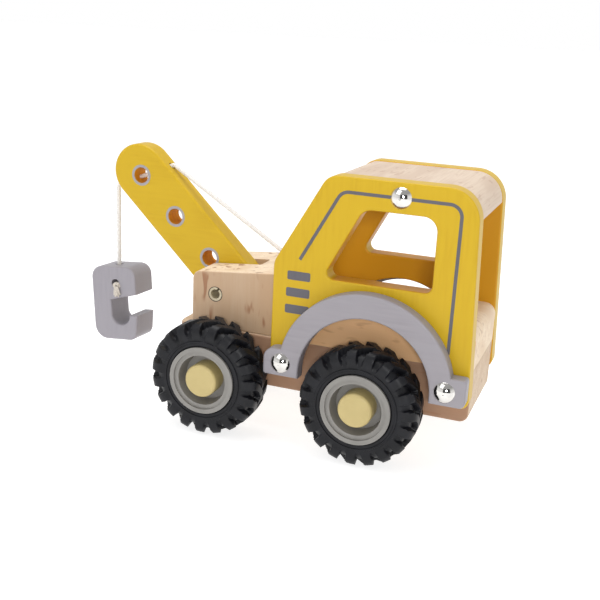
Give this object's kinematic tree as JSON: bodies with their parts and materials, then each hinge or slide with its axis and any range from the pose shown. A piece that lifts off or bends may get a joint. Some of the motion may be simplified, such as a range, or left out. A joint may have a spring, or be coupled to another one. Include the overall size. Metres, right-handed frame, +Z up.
{
  "type": "toy tow truck",
  "caption": "Wooden toy tow truck with a pinned swinging boom, a cord-hung hook, a cab open front and back, and rolling lugged rubber wheels.",
  "frame": {"origin": "on the floor, under the middle of the truck's length and width; the length is measured from the hook to the fenders' rear feet", "axes": "+X towards the open back of the cab, the bonnet, boom and hook point along -X; -Y is the truck's left side; +Z up"},
  "size_m": [0.1959, 0.095, 0.1211],
  "materials": {
    "beech": "sanded bare beech with fine flecks, satin",
    "yellow_paint": "warm yellow water-based paint on plywood or beech, satin",
    "grey_paint": "light grey paint on wood, satin",
    "chrome_nails": "polished nickel-plated domed nail heads",
    "spring_pin": "pale yellow-plated spring pin, satin",
    "axle_steel": "plain drawn steel bar",
    "tyre_rubber": "black rubber, satin, moulded tractor lugs",
    "rim_plastic": "light grey moulded plastic",
    "cap_yellow": "pale yellow painted hub cap",
    "cotton_cord": "off-white twisted cotton cord, frayed at the knot"
  },
  "bodies": {
    "chassis": {"chassis_board": "beech", "hood_block": "beech", "cab_floor_block": "beech", "roof_block": "beech", "side_panel_left": "yellow_paint", "side_panel_right": "yellow_paint", "fender_left": "grey_paint", "fender_right": "grey_paint", "dome_nails_left": "chrome_nails", "dome_nails_right": "chrome_nails", "boom_roll_pin": "spring_pin"},
    "front_wheels": {"axle_front": "axle_steel", "tyre_front_left": "tyre_rubber", "rim_front_left": "rim_plastic", "hub_cap_front_left": "cap_yellow", "tyre_front_right": "tyre_rubber", "rim_front_right": "rim_plastic", "hub_cap_front_right": "cap_yellow"},
    "rear_wheels": {"axle_rear": "axle_steel", "tyre_rear_left": "tyre_rubber", "rim_rear_left": "rim_plastic", "hub_cap_rear_left": "cap_yellow", "tyre_rear_right": "tyre_rubber", "rim_rear_right": "rim_plastic", "hub_cap_rear_right": "cap_yellow"},
    "boom": {"boom": "yellow_paint", "cord_stay": "cotton_cord", "cord_in_boom": "cotton_cord"},
    "hanging_cord": {"cord_neck": "cotton_cord"},
    "swinging_cord": {"cord_drop": "cotton_cord"},
    "cord_end": {"cord_link": "cotton_cord"},
    "hook": {"hook_block": "grey_paint", "hook_knot": "cotton_cord"}
  },
  "joints": [
    {"name": "front_axle_spin", "type": "hinge", "parent": "chassis", "child": "front_wheels", "pos_m": [-0.01772, 0, 0.026], "axis": [0, 1, 0], "continuous": true},
    {"name": "rear_axle_spin", "type": "hinge", "parent": "chassis", "child": "rear_wheels", "pos_m": [0.05358, 0, 0.026], "axis": [0, 1, 0], "continuous": true},
    {"name": "boom_tilt", "type": "hinge", "parent": "chassis", "child": "boom", "pos_m": [-0.02292, 0, 0.0592], "axis": [0, 1, 0], "range_deg": [-28, 30], "deforming": ["cord_stay"]},
    {"name": "cord_follow", "type": "hinge", "parent": "boom", "child": "hanging_cord", "pos_m": [-0.08742, 0, 0.096], "axis": [0, 1, 0], "range_deg": [-30, 28]},
    {"name": "hook_sway", "type": "hinge", "parent": "hanging_cord", "child": "swinging_cord", "pos_m": [-0.08742, 0, 0.096], "axis": [1, 0, 0], "range_deg": [-25, 25], "deforming": ["cord_neck"]},
    {"name": "cord_feed", "type": "slide", "parent": "swinging_cord", "child": "cord_end", "axis": [0, 0, -1], "range_m": [-0.0132, 0.01414], "deforming": ["cord_drop"]},
    {"name": "hook_rock", "type": "hinge", "parent": "cord_end", "child": "hook", "pos_m": [-0.08742, 0, 0.0596], "axis": [0, 1, 0], "range_deg": [-25, 35], "deforming": ["cord_link"]}
  ],
  "couplings": [
    {"joint": "cord_follow", "follows": "boom_tilt", "ratio": -1},
    {"joint": "cord_feed", "follows": "boom_tilt", "m_per_rad": 0.027}
  ]
}
